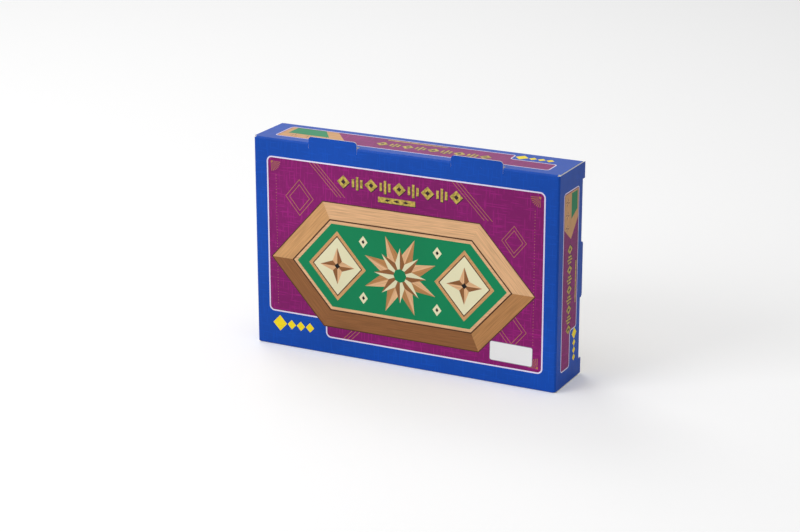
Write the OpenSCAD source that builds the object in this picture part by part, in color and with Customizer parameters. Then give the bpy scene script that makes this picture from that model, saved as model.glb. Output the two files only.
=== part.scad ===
/* [Carton] */
// Thickness of the folding card
card_t = 0.8; // [0.5:0.1:1.0]
// Air between the two plies of a rolled wall
ply_gap = 0.2; // [0.1:0.1:0.4]
// How far a rolled wall's inner ply stops short of the corners
ply_end_gap = 0.4; // [0.2:0.1:1.0]
// Outer radius of a card fold
fold_r = 1.6; // [1.2:0.1:2.4]
// Room that the inside of a fold leaves to what lies in its corner
fold_clear = 0.1; // [0.05:0.05:0.3]
// How far the die-cut lips stand above the top fold
lip_h = 4.5; // [3:0.5:6]
// Length of one lip on the top fold
lip_len = 39; // [20:1:45]
// Distance of each lip's middle from the carton's middle
lip_offset = 54; // [35:1:60]
// Corner radius of a lip
lip_r = 2.5; // [1:0.5:2.9]
// Width of the die-cut slits beside a lip
slit_w = 0.4; // [0.3:0.1:0.8]
// How far a slit runs into the front panel
slit_len = 3; // [2:0.5:6]
// How far the side walls' corners and middle lip stand past the rim
rim_proud = 3; // [1.5:0.5:4]
// Length of the proud corner of a side wall
rim_corner_len = 11.5; // [6:0.5:20]
// Length of the middle lip of a side wall
rim_lip_len = 40; // [20:1:60]

/* [Base tray] */
// Clearance between the base tray and the outer carton, a side
nest_gap = 0.3; // [0.2:0.1:0.6]
// Room between the game and the base tray's short walls, a side
side_room = 2.1; // [0.5:0.1:6]
// Room between the game and the base tray's top wall
top_room = 1.5; // [0.5:0.1:6]
// Depth that the base tray leaves free over the game
head_room = 8.3; // [1:0.1:16]
// How far the outer carton's rim stands past the base tray's
rim_step = 4.2; // [2.4:0.1:8]
// Thickness of one leaf of the folded rules sheet
leaf_t = 0.2; // [0.1:0.05:0.3]
// Width of the folded rules sheet
sheet_w = 150; // [100:1:190]
// Height of the folded rules sheet
sheet_h = 105; // [80:1:130]

/* [Game frame] */
// Length of the wooden game
game_l = 220; // [190:1:320]
// Width of the wooden game, front rail to back rail
game_w = 146; // [125:1:220]
// Height of the rails
game_h = 26; // [23:0.5:34]
// Width of a rail
rail_w = 11.5; // [10:0.5:13]
// Rounding of the rails' top edges
rail_r = 0.8; // [0.4:0.1:1.5]
// Rounding of the back rail's inner top edge, where raised tiles lean
lean_r = 3; // [1:0.5:4]
// Width of the beads inside the side rails
bead_w = 8; // [6:0.5:9]
// How far the beads stop below the top of the rails
bead_drop = 1.6; // [1:0.2:3]
// Thickness of the floor board
board_t = 4; // [3:0.5:4.5]
// How far the floor board is let into the rails
board_let_in = 4; // [2:0.5:6]
// Play between the floor board and its rebate
board_gap = 0.3; // [0.1:0.1:0.5]
// Thickness of the felt
felt_t = 1; // [0.6:0.1:1.4]
// Width of the strip that the tiles' free ends rest on
strip_w = 14; // [12:0.5:18]
// How far the tiles reach over the strip
strip_under = 7; // [5:0.5:9]

/* [Tiles] */
// Gap between neighbouring tiles
tile_gap = 0.6; // [0.4:0.1:1.0]
// Gap between the end tiles and the beads
row_end_gap = 0.5; // [0.3:0.1:1.0]
// Length of a tile
tile_l = 52; // [40:1:64]
// Thickness of a tile
tile_t = 10; // [7:0.5:12]
// Length of a tile behind the rod
tile_stub = 9.2; // [6:0.1:10.5]
// Eased edge of a tile
tile_ease = 0.5; // [0.3:0.1:1.0]
// Radius of the rod that the tiles turn on
rod_r = 1.6; // [1:0.1:2.2]
// Radial clearance of a tile on the rod
rod_clear = 0.08; // [0.03:0.01:0.1]
// Radial clearance of the rod in the side rails
rod_seat_clear = 0.02; // [0.01:0.01:0.05]
// How deep the rod goes into each side rail
rod_seat = 7; // [4:0.5:9]
// Clearance of a turning tile from the back rail and the felt
tile_swing_gap = 0.45; // [0.3:0.05:0.8]

/* [Dice] */
// Edge of a die
die_s = 16; // [12:0.5:18]
// How much wider than the die the ball is that rounds its corners
die_round = 6.6; // [5:0.1:9]
// Radius of the tool that sinks the pips
pip_r = 1.7; // [1.2:0.1:2]
// Depth of a pip
pip_depth = 0.7; // [0.3:0.1:0.9]
// Distance of the outer pips from a die's sides
pip_margin = 4.3; // [4:0.1:4.6]
// Gap between the second die and the bead at the end of the well
die_end_gap = 14.5; // [2:0.5:40]
// Gap between the two dice
die_gap = 6; // [1:0.5:8]

/* [Hidden] */
$fn = 48;

// Overshoot of a cutting tool past the face it opens
cut = 1;

// Rolled wall, and the folded rules sheet
wall_t = 2 * card_t + ply_gap;
roll_r = wall_t / 2;
sheet_t = 2 * leaf_t + ply_gap;
fold_room = fold_r + fold_clear;
game_lift = max(card_t + sheet_t, fold_room);

// Base tray round the game, and the outer carton round the base tray
base_x = game_l / 2 + side_room + wall_t;
base_h = game_w + top_room + 2 * card_t;
base_d = game_lift + game_h + head_room;
carton_w = 2 * (base_x + nest_gap + wall_t);
carton_h = base_h + nest_gap + 2 * wall_t;
carton_d = card_t + base_d + rim_step;

// Places: X to the right, Y from the front panel to the open back, Z up. The base tray's floor lies
// against the front panel, and it stands on the bottom wall
y_front = -(carton_d + rim_proud) / 2;
base_y = y_front + card_t;
base_z = wall_t;

// Game: lies over the rules sheet, clear of the bottom fold, and stands on the base tray's bottom wall
game_y = base_y + game_lift;
game_z = base_z + card_t;

// Floor of the game, from its underside up
felt_top = board_t + felt_t;
bead_top = game_h - bead_drop;

// Tile row, from the back rail forward
tile_count = 10;
inner_half = game_l / 2 - rail_w;
row_half = inner_half - bead_w;
tile_pitch = 2 * (row_half - row_end_gap) / tile_count;
tile_w = tile_pitch - tile_gap;
stub_swing = sqrt(tile_stub * tile_stub + tile_t * tile_t / 4);
rod_h = felt_top + stub_swing + tile_swing_gap;
rod_u = game_w - rail_w - stub_swing - tile_swing_gap;
tile_front = rod_u + tile_stub - tile_l;
strip_back = tile_front + strip_under;
strip_front = strip_back - strip_w;
strip_top = rod_h - tile_t / 2;

// Dice, from the bead at the right end of the well
pip_step = die_s / 2 - pip_margin;
die_2_x = row_half - die_end_gap - die_s / 2;
die_1_x = die_2_x - die_s - die_gap;

// Pips of the faces 1 to 6, in steps from the middle of the face
PIPS = [
    [[0, 0]],
    [[-1, -1], [1, 1]],
    [[-1, -1], [0, 0], [1, 1]],
    [[-1, -1], [-1, 1], [1, -1], [1, 1]],
    [[-1, -1], [-1, 1], [0, 0], [1, -1], [1, 1]],
    [[-1, -1], [-1, 0], [-1, 1], [1, -1], [1, 0], [1, 1]]
];
// Turns that bring each face of a die to the top, opposite faces adding up to seven
FACE_TURNS = [[0, 0, 0], [90, 0, 0], [0, 90, 0], [0, -90, 0], [-90, 0, 0], [180, 0, 0]];

// Box from one corner to the opposite one
module span(low, high) {
    translate(low) cube(high - low);
}

// Outline in the Y-Z plane, drawn out along X
module along_x(length) {
    translate([-length / 2, 0, 0]) rotate([90, 0, 90]) linear_extrude(length) children();
}

// Outline in the X-Z plane, drawn out along Y from the origin
module along_y(length) {
    translate([0, length, 0]) rotate([90, 0, 0]) linear_extrude(length) children();
}

// Puts a piece of the game, drawn lying flat, upright in the base tray with its play side to the back
module in_carton() {
    translate([0, game_y, game_z]) rotate([90, 0, 180]) children();
}

// Quarter or half ring of card, whose axis runs along X
module fold_x(length, outer, inner, low, high) {
    intersection() {
        rotate([0, 90, 0]) difference() {
            cylinder(r = outer, h = length, center = true);
            cylinder(r = inner, h = length + 2 * cut, center = true);
        }
        span([-length / 2, low[0], low[1]], [length / 2, high[0], high[1]]);
    }
}

// Quarter or half ring of card, whose axis runs along Z
module fold_z(length, outer, inner, low, high) {
    intersection() {
        difference() {
            cylinder(r = outer, h = length);
            translate([0, 0, -cut]) cylinder(r = inner, h = length + 2 * cut);
        }
        span([low[0], low[1], 0], [high[0], high[1], length]);
    }
}

// Rolled long wall with its outer face on z = 0 and its card below
module rolled_long_wall(length, depth) {
    inner = length / 2 - wall_t - ply_end_gap;
    span([-length / 2, fold_r, -card_t], [length / 2, depth - roll_r, 0]);
    span([-inner, card_t, -wall_t], [inner, depth - roll_r, card_t - wall_t]);
    translate([0, depth - roll_r, -roll_r])
        fold_x(2 * inner, roll_r, ply_gap / 2, [0, -roll_r], [roll_r, roll_r]);
    translate([0, fold_r, -fold_r])
        fold_x(length - 2 * fold_r, fold_r, fold_r - card_t, [-fold_r, 0], [0, fold_r]);
}

// Rolled side wall with its outer face on x = 0 and its card towards -X
module rolled_side_wall(low, high, depth) {
    inner = [low + ply_end_gap, high - ply_end_gap];
    span([-card_t, fold_r, low], [0, depth - roll_r, high]);
    span([-wall_t, card_t, inner[0]], [card_t - wall_t, depth - roll_r, inner[1]]);
    translate([-roll_r, depth - roll_r, inner[0]])
        fold_z(inner[1] - inner[0], roll_r, ply_gap / 2, [-roll_r, 0], [roll_r, roll_r]);
    translate([-fold_r, fold_r, low])
        fold_z(high - low, fold_r, fold_r - card_t, [0, -fold_r], [fold_r, 0]);
}

// Die-cut lip, which stands in the front panel's plane where the top wall folds away
module fold_lip() {
    along_y(card_t) difference() {
        translate([-lip_len / 2, -fold_r]) square([lip_len, lip_h + fold_r]);
        for (side = [-1, 1]) translate([side * (lip_len / 2 - lip_r), lip_h - lip_r]) difference() {
            translate([side > 0 ? 0 : -lip_r - cut, 0]) square([lip_r + cut, lip_r + cut]);
            circle(lip_r);
        }
    }
}

// Opening that a lip leaves in the top fold, with the slits at its ends
module lip_window() {
    half = lip_len / 2 + slit_w;
    span([-half, -cut, -card_t - ply_gap / 2], [half, lip_h, cut]);
    span([-half, -cut, -fold_r], [half, card_t, cut]);
    for (side = [-1, 1]) translate([side * (lip_len / 2 + slit_w / 2), 0, 0])
        span([-slit_w / 2, -cut, -fold_r - slit_len], [slit_w / 2, card_t + cut, 0]);
}

// Proud corners and middle lip of a side wall, in the wall's own plane
module rim_lips(low, high) {
    middle = (low + high) / 2;
    for (ends = [[low, low + rim_corner_len], [high - rim_corner_len, high]])
        span([-card_t, carton_d - roll_r, ends[0]], [0, carton_d + rim_proud, ends[1]]);
    rotate([0, -90, 0]) linear_extrude(card_t) difference() {
        translate([middle - rim_lip_len / 2, carton_d - roll_r]) square([rim_lip_len, roll_r + rim_proud * 0.8]);
        for (side = [-1, 1]) translate([middle + side * (rim_lip_len / 2 - lip_r), carton_d + rim_proud * 0.8 - lip_r])
            difference() {
                translate([side > 0 ? 0 : -lip_r - cut, 0]) square([lip_r + cut, lip_r + cut]);
                circle(lip_r);
            }
    }
}

// Printed outer carton: one sheet of card, folded to a front panel and four rolled walls
module outer_carton() {
    color("royalblue") translate([0, y_front, 0]) {
        difference() {
            union() {
                span([fold_r - carton_w / 2, 0, fold_r], [carton_w / 2 - fold_r, card_t, carton_h - fold_r]);
                translate([0, 0, carton_h]) rolled_long_wall(carton_w, carton_d);
            }
            for (side = [-1, 1]) translate([side * lip_offset, 0, carton_h]) lip_window();
        }
        for (side = [-1, 1]) translate([side * lip_offset, 0, carton_h]) fold_lip();
        mirror([0, 0, 1]) rolled_long_wall(carton_w, carton_d);
        for (side = [0, 1]) mirror([side, 0, 0]) translate([carton_w / 2, 0, 0]) {
            rolled_side_wall(card_t, carton_h - card_t, carton_d);
            rim_lips(card_t, carton_h - card_t);
        }
    }
}

// Base tray: plain card, its short walls rolled and its long walls single
module base_tray() {
    color("whitesmoke") translate([0, base_y, base_z]) {
        span([fold_r - base_x, 0, fold_r], [base_x - fold_r, card_t, base_h - fold_r]);
        for (top = [0, 1]) translate([0, 0, top * base_h]) mirror([0, 0, 1 - top]) {
            span([-base_x, fold_r, -card_t], [base_x, base_d, 0]);
            translate([0, fold_r, -fold_r])
                fold_x(2 * (base_x - fold_r), fold_r, fold_r - card_t, [-fold_r, 0], [0, fold_r]);
        }
        for (side = [0, 1]) mirror([side, 0, 0]) translate([base_x, 0, 0])
            rolled_side_wall(card_t, base_h - card_t, base_d);
    }
}

// Folded rules sheet, blank, flat on the base tray's floor
module rules_sheet() {
    fold_out = sheet_t / 2;
    color("white") translate([0, base_y + card_t, base_z + fold_room]) {
        for (leaf = [0, sheet_t - leaf_t])
            span([-sheet_w / 2, leaf, 0], [sheet_w / 2 - fold_out, leaf + leaf_t, sheet_h]);
        translate([sheet_w / 2 - fold_out, fold_out, 0])
            fold_z(sheet_h, fold_out, fold_out - leaf_t, [0, -fold_out], [fold_out, fold_out]);
    }
}

// Corner cutter that rounds an outline's top right corner at the origin
module round_corner(radius) {
    translate([-radius, -radius]) difference() {
        square(radius + cut);
        circle(radius);
    }
}

// Section of a rail: outer face at 0, inner face at rail_w, rebate for the floor board
module rail_section(inner_r) {
    difference() {
        square([rail_w, game_h]);
        translate([rail_w - board_let_in, -cut]) square([board_let_in + cut, board_t + cut]);
        translate([rail_w, game_h]) round_corner(inner_r);
        translate([0, game_h]) mirror([1, 0]) round_corner(rail_r);
    }
}

// Mitred outline of a rail that is length long, seen from above
module mitre(length) {
    linear_extrude(game_h) polygon([
        [-length / 2, 0], [length / 2, 0], [length / 2 - rail_w, rail_w], [rail_w - length / 2, rail_w]
    ]);
}

// Rail with its outer face along y = 0
module rail(length, inner_r) {
    intersection() {
        along_x(length) rail_section(inner_r);
        mitre(length);
    }
}

module rail_front() {
    color("burlywood") in_carton() rail(game_l, rail_r);
}

module rail_back() {
    color("burlywood") in_carton() translate([0, game_w, 0]) mirror([0, 1, 0]) rail(game_l, lean_r);
}

// Side rail with the blind hole that holds the rod's end; side is -1 on the player's left
module rail_side(side) {
    color("burlywood") in_carton() difference() {
        translate([side * game_l / 2, game_w / 2, 0]) rotate([0, 0, side * 90]) rail(game_w, rail_r);
        translate([side * inner_half, rod_u, rod_h]) rotate([0, 90, 0])
            cylinder(r = rod_r + rod_seat_clear, h = 2 * rod_seat, center = true);
    }
}

// Round-topped bead along the inside of a side rail, drilled for the rod
module bead(side) {
    nose_r = bead_w / 2;
    color("wheat") in_carton() difference() {
        translate([side * (row_half + nose_r), rail_w, 0]) union() {
            span([-nose_r, 0, board_t], [nose_r, game_w - 2 * rail_w, bead_top - nose_r]);
            translate([0, 0, bead_top - nose_r]) rotate([-90, 0, 0])
                cylinder(r = nose_r, h = game_w - 2 * rail_w);
        }
        translate([side * (row_half + nose_r), rod_u, rod_h]) rotate([0, 90, 0])
            cylinder(r = rod_r + rod_seat_clear, h = bead_w + 2 * cut, center = true);
    }
}

// Floor board, let into the rebates of the four rails
module floor_board() {
    let_in = board_let_in - board_gap;
    color("tan") in_carton()
        span([-inner_half - let_in, rail_w - let_in, 0], [inner_half + let_in, game_w - rail_w + let_in, board_t]);
}

// Felt between two lines across the game
module felt(from, to) {
    color("seagreen") in_carton() span([-row_half, from, board_t], [row_half, to, felt_top]);
}

// Strip that the tiles' free ends rest on
module rest_strip() {
    color("wheat") in_carton() span([-row_half, strip_front, board_t], [row_half, strip_back, strip_top]);
}

// Steel rod that the ten tiles turn on
module tile_rod() {
    color("silver") in_carton() translate([0, rod_u, rod_h]) rotate([0, 90, 0])
        cylinder(r = rod_r, h = 2 * (inner_half + rod_seat), center = true);
}

// Section of a tile along its length, the rod's hole at the origin
module tile_section() {
    front = tile_stub - tile_l;
    half = tile_t / 2;
    difference() {
        polygon([
            [front + tile_ease, -half], [tile_stub - tile_ease, -half],
            [tile_stub, tile_ease - half], [tile_stub, half - tile_ease],
            [tile_stub - tile_ease, half], [front + tile_ease, half],
            [front, half - tile_ease], [front, tile_ease - half]
        ]);
        circle(rod_r + rod_clear);
    }
}

// Numbered tile; index 0 is the player's leftmost
module tile(index) {
    row_x = (index + 0.5 - tile_count / 2) * tile_pitch;
    color("burlywood") in_carton() translate([row_x, rod_u, rod_h]) along_x(tile_w) tile_section();
}

// Die with round corners and sunk pips, its middle at the origin
module die() {
    color("ivory") difference() {
        intersection() {
            cube(die_s, center = true);
            sphere(d = die_s + die_round);
        }
        for (face = [0 : 5]) rotate(FACE_TURNS[face]) for (pip = PIPS[face])
            translate([pip[0] * pip_step, pip[1] * pip_step, die_s / 2 + pip_r - pip_depth]) sphere(r = pip_r);
    }
}

// Die on the felt, against the front rail, with the given number of quarter turns
module die_in_well(place_x, turn) {
    in_carton() translate([place_x, rail_w + die_s / 2, felt_top + die_s / 2]) rotate(turn) die();
}

outer_carton();
base_tray();
rules_sheet();
rail_front();
rail_back();
rail_side(-1);  // rail_left
rail_side(1);  // rail_right
bead(-1);  // bead_left
bead(1);  // bead_right
floor_board();
felt(rail_w, strip_front);  // felt_well
felt(strip_back, game_w - rail_w);  // felt_row
rest_strip();
tile_rod();
for (index = [0 : tile_count - 1])
    tile(index);
die_in_well(die_1_x, [0, 0, 0]);  // die_1
die_in_well(die_2_x, [0, 90, 90]);  // die_2
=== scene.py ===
import math

import bmesh
import bpy
import numpy as np
from mathutils import Matrix, Vector, geometry


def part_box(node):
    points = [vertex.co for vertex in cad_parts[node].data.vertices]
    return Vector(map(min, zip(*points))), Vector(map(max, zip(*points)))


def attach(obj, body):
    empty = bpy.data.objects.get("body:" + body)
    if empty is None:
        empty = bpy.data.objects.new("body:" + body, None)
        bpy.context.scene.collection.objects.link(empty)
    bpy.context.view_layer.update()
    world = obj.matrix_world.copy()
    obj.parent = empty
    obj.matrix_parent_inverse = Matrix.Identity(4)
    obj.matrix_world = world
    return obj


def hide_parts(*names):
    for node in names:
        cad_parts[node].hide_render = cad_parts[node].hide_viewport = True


mm = 0.001

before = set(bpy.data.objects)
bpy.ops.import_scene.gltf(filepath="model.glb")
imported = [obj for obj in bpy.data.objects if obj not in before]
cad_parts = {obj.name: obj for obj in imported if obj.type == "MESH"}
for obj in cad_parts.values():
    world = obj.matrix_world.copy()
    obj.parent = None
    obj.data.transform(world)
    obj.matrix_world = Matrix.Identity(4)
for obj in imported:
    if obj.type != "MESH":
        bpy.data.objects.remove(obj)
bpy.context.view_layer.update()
print("frame loaded:", len(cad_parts), "nodes")


# Small tools that every piece uses
def linearColour(hexText):
    values = [int(hexText[i:i + 2], 16) / 255 for i in (1, 3, 5)]
    return [v / 12.92 if v <= 0.04045 else ((v + 0.055) / 1.055) ** 2.4 for v in values] + [1.0]


# gives values to a node's inputs; a node or a socket becomes a link
def setInputs(tree, node, inputs):
    for key, value in inputs.items():
        if isinstance(value, bpy.types.Node):
            value = value.outputs[0]
        if isinstance(value, bpy.types.NodeSocket):
            tree.links.new(value, node.inputs[key])
        else:
            node.inputs[key].default_value = value


def addNode(tree, kind, inputs=None, **settings):
    node = tree.nodes.new("ShaderNode" + kind)
    for name, value in settings.items():
        setattr(node, name, value)
    setInputs(tree, node, inputs or {})
    return node


def newMaterial(name):
    material = bpy.data.materials.new(name)
    material.use_nodes = True
    tree = material.node_tree
    tree.nodes.clear()
    shader = addNode(tree, "BsdfPrincipled")
    addNode(tree, "OutputMaterial", {"Surface": shader})
    return material, tree, shader


def boxOf(node):
    low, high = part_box(node)
    return np.array(low) / mm, np.array(high) / mm


def addObject(name, data):
    thing = bpy.data.objects.new(name, data)
    bpy.context.scene.collection.objects.link(thing)
    return thing


def addToScene(name, mesh, body):
    piece = addObject(name, mesh)
    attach(piece, body)
    return piece


# smooth mesh from points in mm
def newMesh(name, points, faces, materials):
    mesh = bpy.data.meshes.new(name)
    mesh.from_pydata((np.asarray(points, float).reshape(-1, 3) * mm).tolist(), [], faces)
    for material in materials:
        mesh.materials.append(material)
    mesh.polygons.foreach_set("use_smooth", np.ones(len(mesh.polygons), bool))
    return mesh


# quads of a grid of rows by columns, only where keep is true
def gridFaces(rows, columns, keep=None, flip=False):
    index = np.arange(rows * columns).reshape(rows, columns)
    quads = np.stack([index[:-1, :-1], index[:-1, 1:], index[1:, 1:], index[1:, :-1]], -1)
    if flip:
        quads = quads[..., ::-1]
    return quads.reshape(-1, 4) if keep is None else quads[keep]


# lets flat shapes into a flat outline: points, faces, and for each face the number of the shape
# that lies uppermost there, 0 for the bare ground
def inlay(outline, shapes, loose=()):
    loops, points = [], []
    for loop in [outline, *shapes]:
        loop = np.asarray(loop, float)
        turned = np.roll(loop, -1, 0)
        if (loop[:, 0] * turned[:, 1] - turned[:, 0] * loop[:, 1]).sum() < 0:
            loop = loop[::-1]
        loops.append(list(range(len(points), len(points) + len(loop))))
        points.extend(Vector(p) for p in loop.tolist())
    points.extend(Vector(p) for p in np.asarray(loose, float).tolist())
    found = geometry.delaunay_2d_cdt(points, [], loops, 1, 1e-4)
    return np.array([tuple(p) for p in found[0]]), found[2], np.array([max(o) for o in found[5]])


# Camera, fitted to the carton's outline in the photograph
cameraSet = {
    "azimuth": 26.92, "elevation": 18.06, "roll": -0.085,   # degrees
    "distance": 1508.9,                                       # mm, from the middle of the carton
    "aimRight": -10.5, "aimUp": -8.1,                         # mm, from there to the view's centre
    "lens": 97.6, "sensor": 36.0,
}
cartonMiddle = (0, -1.5, 76.5)   # mm


def placeCamera():
    s = cameraSet
    a, e, r = [math.radians(s[k]) for k in ("azimuth", "elevation", "roll")]
    back = Vector((math.sin(a) * math.cos(e), -math.cos(a) * math.cos(e), math.sin(e)))
    level = Vector((math.cos(a), math.sin(a), 0))
    over = back.cross(level)
    right = level * math.cos(r) + over * math.sin(r)
    up = over * math.cos(r) - level * math.sin(r)
    eye = (Vector(cartonMiddle) + back * s["distance"] + right * s["aimRight"] + up * s["aimUp"]) * mm
    camera = addObject("camera", bpy.data.cameras.new("camera"))
    camera.data.sensor_fit = "HORIZONTAL"
    camera.data.sensor_width = s["sensor"]
    camera.data.lens = s["lens"]
    camera.data.clip_start, camera.data.clip_end = 0.05, 50
    camera.matrix_world = Matrix.Translation(eye) @ Matrix((right, up, back)).transposed().to_4x4()
    bpy.context.scene.camera = camera


placeCamera()
print("camera placed")

# Floor and light: a white product sweep under three large soft lamps
studio = {
    "floorColour": "#F2F2F2", "floorHalf": 6.0, "skyColour": "#FFFFFF",
    "floorLift": 0.16,          # how much whiter the camera sees the floor, as a lit sweep
    "skyLight": 0.42,           # light that the white room gives
    "skySeen": 1.0,             # how bright the room looks behind the object
    "aim": (0, 0, 0.07),        # metres, where the lamps point
    # name, place in metres, width in metres, watts
    "lamps": (
        ("lampFront", (-1.1, -1.5, 1.0), 1.1, 17.5),
        ("lampTop", (-0.3, -0.3, 1.9), 1.4, 10.0),
        ("lampBack", (-1.3, 1.1, 1.8), 1.1, 11.0),
    ),
}


def buildStudio():
    # matt white paper, so that the floor has no gloss
    material, tree, shader = newMaterial("paperSweep")
    white = linearColour(studio["skyColour"])
    seen = addNode(tree, "LightPath").outputs["Is Camera Ray"]
    lift = addNode(tree, "MapRange", {0: seen, 4: studio["floorLift"]})
    setInputs(tree, shader, {"Base Color": linearColour(studio["floorColour"]), "Roughness": 0.9,
                             "Specular IOR Level": 0.0, "Emission Color": white, "Emission Strength": lift})
    half = studio["floorHalf"] / mm
    corners = [(-half, -half, 0), (half, -half, 0), (half, half, 0), (-half, half, 0)]
    addObject("floor", newMesh("floor", corners, [(0, 1, 2, 3)], [material]))

    world = bpy.data.worlds.new("studio")
    bpy.context.scene.world = world
    world.use_nodes = True
    tree = world.node_tree
    tree.nodes.clear()
    paths = addNode(tree, "LightPath").outputs
    seen = paths["Is Camera Ray"]
    for other in ("Is Glossy Ray", "Is Transmission Ray"):
        seen = addNode(tree, "Math", {0: seen, 1: paths[other]}, operation="MAXIMUM")
    strength = addNode(tree, "MapRange", {0: seen, 3: studio["skyLight"], 4: studio["skySeen"]})
    addNode(tree, "OutputWorld", {0: addNode(tree, "Background", {0: white, 1: strength})})

    aim = Vector(studio["aim"])
    for name, place, width, watts in studio["lamps"]:
        lamp = bpy.data.lights.new(name, "AREA")
        lamp.shape, lamp.size, lamp.energy = "SQUARE", width, watts
        holder = addObject(name, lamp)
        turn = (aim - Vector(place)).to_track_quat("-Z", "Y").to_matrix().to_4x4()
        holder.matrix_world = Matrix.Translation(place) @ turn


buildStudio()
bpy.context.scene.view_settings.view_transform = "Standard"
print("studio built")


# Flat drawing, in mm: each shape is its points, the name of its ink and the direction of its grain
def lozenge(x, y, wide, high):
    return [(x - wide, y), (x, y - high), (x + wide, y), (x, y + high)]


def rectangle(a, b, c, d):
    return [(a, b), (c, b), (c, d), (a, d)]


# outline whose corners are all square, with rounded corners, drawn in by inset
def roundedOutline(corners, radius, inset=0.0, steps=8):
    corners = [Vector(c) for c in corners]
    points = []
    for i, corner in enumerate(corners):
        back = (corners[i - 1] - corner).normalized()
        on = (corners[(i + 1) % len(corners)] - corner).normalized()
        outward = 1 if on.cross(back) > 0 else -1     # -1 at an inner corner of a notch
        centre = corner + (back + on) * (inset * outward)
        bend = max(radius - inset * outward, 0.05)
        centre = centre + (back + on) * bend
        for t in np.linspace(0, math.pi / 2, steps):
            points.append(centre - on * bend * math.cos(t) - back * bend * math.sin(t))
    return [tuple(p) for p in points]


# stroke of even width along points, as one shape for each straight piece
def stroke(points, width, ink, closed=False):
    points = [np.array(p, float) for p in points]
    count = len(points)
    sides = []
    for i, point in enumerate(points):
        before = points[i - 1] if closed or i > 0 else None
        after = points[(i + 1) % count] if closed or i < count - 1 else None
        normals = []
        for a, b in ((before, point), (point, after)):
            if a is not None and b is not None:
                step = (b - a) / np.linalg.norm(b - a)
                normals.append(np.array([-step[1], step[0]]))
        mean = sum(normals)
        offset = mean / (mean @ normals[0]) * width / 2
        sides.append((point + offset, point - offset))
    pairs = zip(sides, sides[1:] + sides[:1]) if closed else zip(sides, sides[1:])
    return [([a[0], a[1], b[1], b[0]], ink, 0.0) for a, b in pairs]


# star whose points are split into a light and a dark half, as in inlaid wood
def facetStar(x, y, outer, inner, count, inks, tilt=0.0):
    shapes = []
    for i in range(count):
        angle = tilt + 2 * math.pi * i / count
        tip = (x + outer * math.cos(angle), y + outer * math.sin(angle))
        for side, ink in ((1, inks[0]), (-1, inks[1])):
            low = angle + side * math.pi / count
            hollow = (x + inner * math.cos(low), y + inner * math.sin(low))
            shapes.append(([(x, y), tip, hollow], ink, angle))
    return shapes


# quarter sunburst in a corner, opening along the two signs
def cornerFan(x, y, size, towardX, towardY, rays=8):
    shapes = []
    start = 0.3 * size
    for i in range(rays):
        angle = math.pi / 2 * (i + 0.5) / rays
        half = math.pi / 2 / rays * 0.17
        points = [(start, angle - half), (size, angle - half), (size, angle + half), (start, angle + half)]
        shapes.append(([(x + towardX * r * math.cos(a), y + towardY * r * math.sin(a)) for r, a in points],
                       "goldLine", 0))
    arc = [(0.8 * start * math.cos(a), 0.8 * start * math.sin(a)) for a in np.linspace(0, math.pi / 2, 6)]
    shapes.append(([(x, y)] + [(x + towardX * a, y + towardY * b) for a, b in arc], "goldLine", 0))
    return shapes


# row of lozenges and stepped bars in gilt, with a printed shadow
def frieze(x, y, long, high, upright=False):
    motifs = []
    count = 9
    step = long / count
    for i in range(count):
        place = (i - (count - 1) / 2) * step
        if i % 2 == 0:
            motifs.append(("gold", lozenge(place, 0, step * 0.46, high / 2)))
            motifs.append(("goldShade", lozenge(place, 0, step * 0.17, high * 0.19)))
        else:
            for side, share in ((-1, 0.62), (0, 1.0), (1, 0.62)):
                at, half = place + side * step * 0.3, step * 0.085
                top = high / 2 * share
                motifs.append(("gold", rectangle(at - half, -top, at + half, top)))
    shapes = []
    drop = high * 0.055
    for shift, only in ((drop, "goldShade"), (0.0, None)):
        for ink, points in motifs:
            if shift and ink != "gold":
                continue
            moved = [(a + shift, b - shift) for a, b in points]
            if upright:
                moved = [(-b, a) for a, b in moved]
            shapes.append(([(x + a, y + b) for a, b in moved], only or ink, 0.0))
    return shapes


print("drawing tools ready")

# The carton's sizes: the card's own, and the rest from the frame
card = {
    "thick": 0.8, "plyGap": 0.2, "plyEndGap": 0.4, "foldRadius": 1.6,
    "lipHeight": 4.5, "lipRound": 2.5, "lips": ((-72.2, -34.5), (37.0, 75.2)),   # each lip's start and end
    "slitWidth": 0.12, "slitLength": 2.4,
    "rimProud": 3.0, "rimCorner": 11.5, "rimLip": 40.0, "rimLipShare": 0.8,
    "cornerRound": 0.4,     # free corners of the proud corners
    "rimSupport": 0.4,      # straight stretch beside the roll at the rim
    "edgeRound": 0.1,       # softness of the cut edges
}
cartonLow, cartonHigh = boxOf("outer_carton")
wallThick = 2 * card["thick"] + card["plyGap"]
rollRadius = wallThick / 2
frontY = cartonLow[1]
rimY = cartonHigh[1] - card["rimProud"]
halfWide = cartonHigh[0]
tall = cartonHigh[2] - card["lipHeight"]

inks = {
    "blue": "#0A49AC", "keyline": "#E4DDF2", "plum": "#801764", "gold": "#C3AC52", "goldShade": "#3A2430",
    "goldLine": "#B07A48", "yellow": "#FBDF22", "label": "#E9E9E9", "labelEdge": "#9A93A4",
    "woodPale": "#E0B184", "woodTan": "#CF9C68", "woodMid": "#B58150", "woodDeep": "#8F5E38",
    "woodShade": "#4E3120", "green": "#0A8253", "cream": "#E6E0BA", "black": "#1B1A1C",
}
woodInks = {"woodPale", "woodTan", "woodMid", "woodDeep"}   # these carry a printed wood grain
# Linen texture of the card, in mm, whose threads are drawn lighter as painted highlights, and how much of it
# shows in each ink; the shifts part one thread from the next
linen = {
    "threadWide": 0.55, "threadLong": 13.0, "threadShift": 7.31, "turnShift": 40.0, "threadHighlight": 1.42,
    "share": {"plum": 1.0, "blue": 0.35},
}


# field with a bare notch in one corner, its keyline and its coloured ground
def fieldShapes(corners, radius, keylineWidth=1.0):
    return [(roundedOutline(corners, radius), "keyline", 0.0),
            (roundedOutline(corners, radius, keylineWidth), "plum", 0.0)]


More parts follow.
